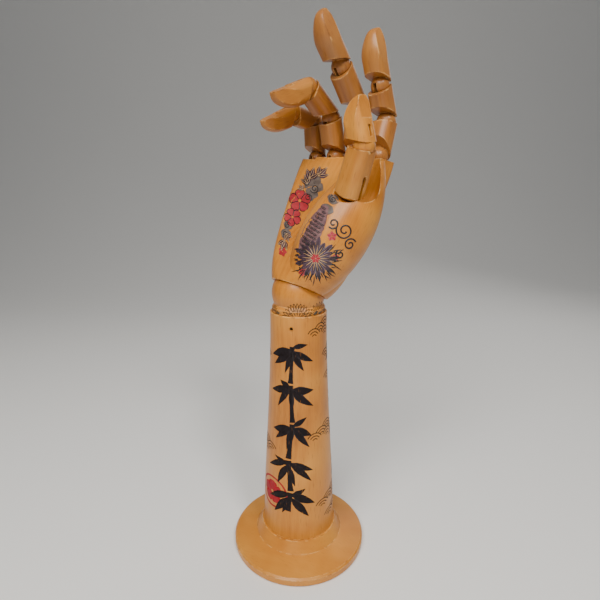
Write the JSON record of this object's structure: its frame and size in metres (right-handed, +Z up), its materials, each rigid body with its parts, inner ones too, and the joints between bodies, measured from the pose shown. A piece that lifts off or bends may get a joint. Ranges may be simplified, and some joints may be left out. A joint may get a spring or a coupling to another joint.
{
  "type": "jointed wooden hand",
  "caption": "Jointed wooden artist hand on a turned forearm and a round base, with pinned dome joints in the wrist, fingers and thumb.",
  "frame": {"origin": "centre of the base's underside, on the axis of the turned forearm", "axes": "+Z up along the forearm, the palm faces -Y and the thumb is on the +X side"},
  "size_m": [0.1176, 0.1244, 0.4285],
  "materials": {
    "wood": "satin varnished beech",
    "steel": "plain drawn steel",
    "felt": "green felt"
  },
  "bodies": {
    "stand": {"base_disc": "wood", "base_pad": "felt", "base_screw": "steel", "forearm": "wood", "wrist_lock_pin": "steel"},
    "wrist": {"wrist_block": "wood", "wrist_stem": "wood", "wrist_hinge_pin": "steel"},
    "hand": {"palm": "wood", "wrist_link": "steel", "wrist_link_pin": "steel", "knuckle_links": "steel", "palm_pins": "steel", "thumb_link": "steel"},
    "index_first": {"index_proximal": "wood", "index_middle_link": "steel", "index_proximal_pins": "steel"},
    "index_second": {"index_middle": "wood", "index_end_link": "steel", "index_middle_pins": "steel"},
    "index_tip": {"index_distal": "wood", "index_distal_pin": "steel"},
    "middle_first": {"middle_proximal": "wood", "middle_middle_link": "steel", "middle_proximal_pins": "steel"},
    "middle_second": {"middle_middle": "wood", "middle_end_link": "steel", "middle_middle_pins": "steel"},
    "middle_tip": {"middle_distal": "wood", "middle_distal_pin": "steel"},
    "ring_first": {"ring_proximal": "wood", "ring_middle_link": "steel", "ring_proximal_pins": "steel"},
    "ring_second": {"ring_middle": "wood", "ring_end_link": "steel", "ring_middle_pins": "steel"},
    "ring_tip": {"ring_distal": "wood", "ring_distal_pin": "steel"},
    "little_first": {"little_proximal": "wood", "little_middle_link": "steel", "little_proximal_pins": "steel"},
    "little_second": {"little_middle": "wood", "little_end_link": "steel", "little_middle_pins": "steel"},
    "little_tip": {"little_distal": "wood", "little_distal_pin": "steel"},
    "thumb_first": {"thumb_proximal": "wood", "thumb_end_link": "steel", "thumb_proximal_pins": "steel"},
    "thumb_tip": {"thumb_distal": "wood", "thumb_distal_pin": "steel"}
  },
  "joints": [
    {"name": "wrist_swivel", "type": "hinge", "parent": "stand", "child": "wrist", "pos_m": [0, 0, 0.2295], "axis": [0, 0, 1], "range_deg": [-60, 60]},
    {"name": "wrist_bend", "type": "hinge", "parent": "wrist", "child": "hand", "pos_m": [0, 0, 0.2295], "axis": [1, 0, 0], "range_deg": [-3, 57]},
    {"name": "index_knuckle", "type": "hinge", "parent": "hand", "child": "index_first", "pos_m": [0.03644, 0.04954, 0.33333], "axis": [1, 0.004, 0.0078], "range_deg": [-7.6, 37.4]},
    {"name": "index_middle_joint", "type": "hinge", "parent": "index_first", "child": "index_second", "pos_m": [0.03619, 0.05884, 0.35974], "axis": [1, 0.004, 0.0078], "range_deg": [-40.8, 23.2]},
    {"name": "index_end_joint", "type": "hinge", "parent": "index_second", "child": "index_tip", "pos_m": [0.03605, 0.04949, 0.38357], "axis": [1, 0.004, 0.0078], "range_deg": [0, 44]},
    {"name": "middle_knuckle", "type": "hinge", "parent": "hand", "child": "middle_first", "pos_m": [0.01489, 0.05047, 0.33516], "axis": [0.9998, -0.0095, -0.0187], "range_deg": [-26, 32]},
    {"name": "middle_middle_joint", "type": "hinge", "parent": "middle_first", "child": "middle_second", "pos_m": [0.01553, 0.05106, 0.36914], "axis": [0.9998, -0.0095, -0.0187], "range_deg": [-41, 37]},
    {"name": "middle_end_joint", "type": "hinge", "parent": "middle_second", "child": "middle_tip", "pos_m": [0.01582, 0.02824, 0.39634], "axis": [0.9998, -0.0095, -0.0187], "range_deg": [-3, 59]},
    {"name": "ring_knuckle", "type": "hinge", "parent": "hand", "child": "ring_first", "pos_m": [-0.0067, 0.05072, 0.33565], "axis": [0.9971, -0.0348, -0.0684], "range_deg": [-43.5, 14.5]},
    {"name": "ring_middle_joint", "type": "hinge", "parent": "ring_first", "child": "ring_second", "pos_m": [-0.00499, 0.04194, 0.36512], "axis": [0.9971, -0.0348, -0.0684], "range_deg": [-38, 40]},
    {"name": "ring_end_joint", "type": "hinge", "parent": "ring_second", "child": "ring_tip", "pos_m": [-0.00462, 0.01588, 0.38369], "axis": [0.9971, -0.0348, -0.0684], "range_deg": [-58, 4]},
    {"name": "little_knuckle", "type": "hinge", "parent": "hand", "child": "little_first", "pos_m": [-0.02833, 0.05047, 0.33516], "axis": [0.9952, -0.0443, -0.0869], "range_deg": [-36.2, 21.8]},
    {"name": "little_middle_joint", "type": "hinge", "parent": "little_first", "child": "little_second", "pos_m": [-0.02599, 0.04567, 0.36438], "axis": [0.9952, -0.0443, -0.0869], "range_deg": [-71, 7]},
    {"name": "little_end_joint", "type": "hinge", "parent": "little_second", "child": "little_tip", "pos_m": [-0.02672, 0.02076, 0.36872], "axis": [0.9952, -0.0443, -0.0869], "range_deg": [-35, 27]},
    {"name": "thumb_base_joint", "type": "hinge", "parent": "hand", "child": "thumb_first", "pos_m": [0.04228, 0.01399, 0.31753], "axis": [0.0431, 0.9935, 0.1054], "range_deg": [-25, 35]},
    {"name": "thumb_end_joint", "type": "hinge", "parent": "thumb_first", "child": "thumb_tip", "pos_m": [0.05179, 0.01141, 0.33798], "axis": [-0.0431, -0.9935, -0.1054], "range_deg": [-37.2, 24.8]}
  ]
}
